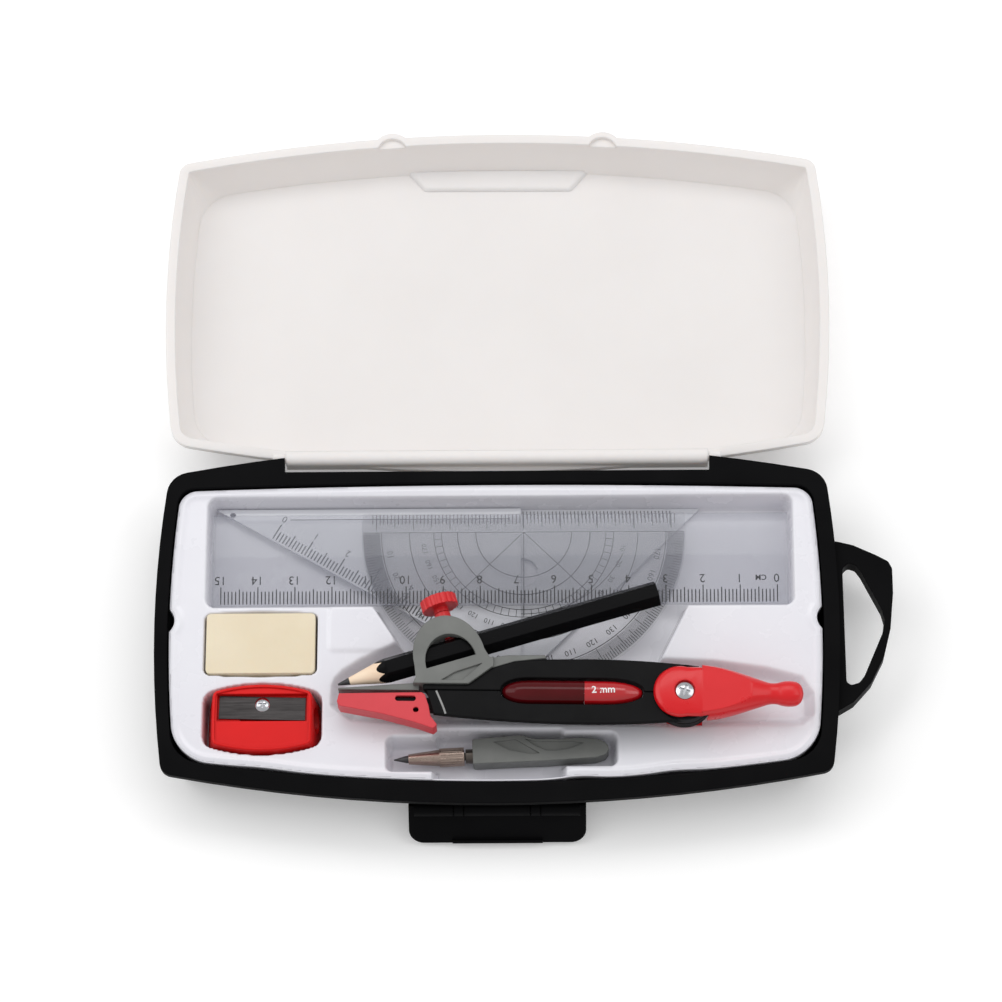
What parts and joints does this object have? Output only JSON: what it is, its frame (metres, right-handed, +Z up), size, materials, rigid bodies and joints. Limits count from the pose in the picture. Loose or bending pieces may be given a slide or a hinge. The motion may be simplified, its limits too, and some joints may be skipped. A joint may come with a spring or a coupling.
{
  "type": "drafting compass set",
  "caption": "Hinged pencil-case style drafting set: black base with loop, frosted lid, white tray holding compass, pencil, ruler, protractor, eraser, sharpener and lead holder.",
  "frame": {"origin": "centre of the base's flat underside, on the table", "axes": "+X along the case to its loop, +Y to the hinge and the open lid, +Z up"},
  "size_m": [0.1982, 0.2041, 0.0291],
  "materials": {
    "black_pp": "satin moulded",
    "frosted_pp": "frosted translucent",
    "white_sheet": "glossy formed sheet",
    "clear_plastic": "clear, printed",
    "eraser": "matt",
    "red_plastic": "gloss",
    "coral_plastic": "gloss",
    "leg_black": "soft matt",
    "grey_plastic": "satin",
    "blade_steel": "ground",
    "chrome": "bright plated",
    "nylon": "natural",
    "needle_steel": "polished",
    "dark_red_clear": "translucent",
    "graphite": "graphite",
    "black_lacquer": "lacquered",
    "cedar": "sharpened",
    "nickel": "warm nickel"
  },
  "bodies": {
    "case": {"case_base": "black_pp"},
    "lid": {"case_lid": "frosted_pp"},
    "latch": {"latch_flap": "black_pp"},
    "tray": {"tray_insert": "white_sheet"},
    "ruler": {"ruler": "clear_plastic"},
    "protractor": {"protractor": "clear_plastic"},
    "set_square_60": {"set_square_60": "clear_plastic"},
    "set_square_45": {"set_square_45": "clear_plastic"},
    "eraser": {"eraser": "eraser"},
    "sharpener": {"sharpener_body": "red_plastic", "sharpener_blade": "blade_steel", "sharpener_screw": "chrome"},
    "head": {"compass_head": "red_plastic", "pivot_screw": "chrome", "pivot_nut": "chrome", "pivot_washers": "nylon"},
    "needle_leg": {"needle_leg": "leg_black", "needle_carrier": "grey_plastic", "needle": "needle_steel", "refill_tube": "dark_red_clear", "refill_cap": "red_plastic", "spare_leads": "graphite"},
    "guard": {"needle_guard": "coral_plastic"},
    "pencil_leg": {"pencil_leg": "leg_black", "clamp_frame": "grey_plastic"},
    "thumbscrew": {"clamp_screw": "coral_plastic"},
    "pencil": {"pencil_barrel": "black_lacquer", "pencil_wood": "cedar", "pencil_lead": "graphite"},
    "holder": {"holder_body": "grey_plastic", "holder_collet": "nickel"},
    "holder_nose": {"holder_nose": "nickel", "holder_nut": "nickel"},
    "holder_lead": {"holder_lead": "graphite"}
  },
  "joints": [
    {"name": "lid_hinge", "type": "hinge", "parent": "case", "child": "lid", "pos_m": [0, 0.0477, 0.0159], "axis": [-1, 0, 0], "range_deg": [-180, 0]},
    {"name": "latch_hinge", "type": "hinge", "parent": "case", "child": "latch", "pos_m": [0, -0.0501, 0.0104], "axis": [1, 0, 0], "range_deg": [-136, 0]},
    {"name": "tray_lift", "type": "slide", "parent": "case", "child": "tray", "axis": [0, 0, 1], "range_m": [0, 0.05]},
    {"name": "set_square_45_lift", "type": "slide", "parent": "tray", "child": "set_square_45", "axis": [0, 0, 1], "range_m": [0, 0.012]},
    {"name": "set_square_60_lift", "type": "slide", "parent": "set_square_45", "child": "set_square_60", "axis": [0, 0, 1], "range_m": [0, 0.012]},
    {"name": "protractor_lift", "type": "slide", "parent": "set_square_60", "child": "protractor", "axis": [0, 0, 1], "range_m": [0, 0.012]},
    {"name": "ruler_lift", "type": "slide", "parent": "protractor", "child": "ruler", "axis": [0, 0, 1], "range_m": [0, 0.014]},
    {"name": "compass_lift", "type": "slide", "parent": "ruler", "child": "head", "axis": [0, 0, 1], "range_m": [0, 0.03]},
    {"name": "eraser_lift", "type": "slide", "parent": "tray", "child": "eraser", "axis": [0, 0, 1], "range_m": [0, 0.03]},
    {"name": "sharpener_lift", "type": "slide", "parent": "tray", "child": "sharpener", "axis": [0, 0, 1], "range_m": [0, 0.03]},
    {"name": "holder_lift", "type": "slide", "parent": "tray", "child": "holder", "axis": [0, 0, 1], "range_m": [0, 0.03]},
    {"name": "needle_leg_swing", "type": "hinge", "parent": "head", "child": "needle_leg", "pos_m": [0.0497, -0.0233, 0.0234], "axis": [0, 0, 1], "range_deg": [0, 55]},
    {"name": "pencil_leg_swing", "type": "hinge", "parent": "head", "child": "pencil_leg", "pos_m": [0.0497, -0.0233, 0.0234], "axis": [0, 0, -1], "range_deg": [0, 55]},
    {"name": "guard_slide", "type": "slide", "parent": "needle_leg", "child": "guard", "axis": [-0.9999, 0.0157, 0], "range_m": [0, 0.0025]},
    {"name": "pencil_slide", "type": "slide", "parent": "pencil_leg", "child": "pencil", "axis": [0.9588, 0.284, 0], "range_m": [0, 0.045]},
    {"name": "thumbscrew_turn", "type": "hinge", "parent": "pencil_leg", "child": "thumbscrew", "pos_m": [-0.01131, -0.01048, 0.0234], "axis": [-0.284, 0.9588, 0], "continuous": true},
    {"name": "holder_nut_turn", "type": "hinge", "parent": "holder", "child": "holder_nose", "pos_m": [0.0013, -0.03615, 0.0134], "axis": [0.999, 0.0454, 0], "continuous": true},
    {"name": "holder_lead_slide", "type": "slide", "parent": "holder", "child": "holder_lead", "axis": [0.999, 0.0454, 0], "range_m": [0, 0.0028]}
  ]
}
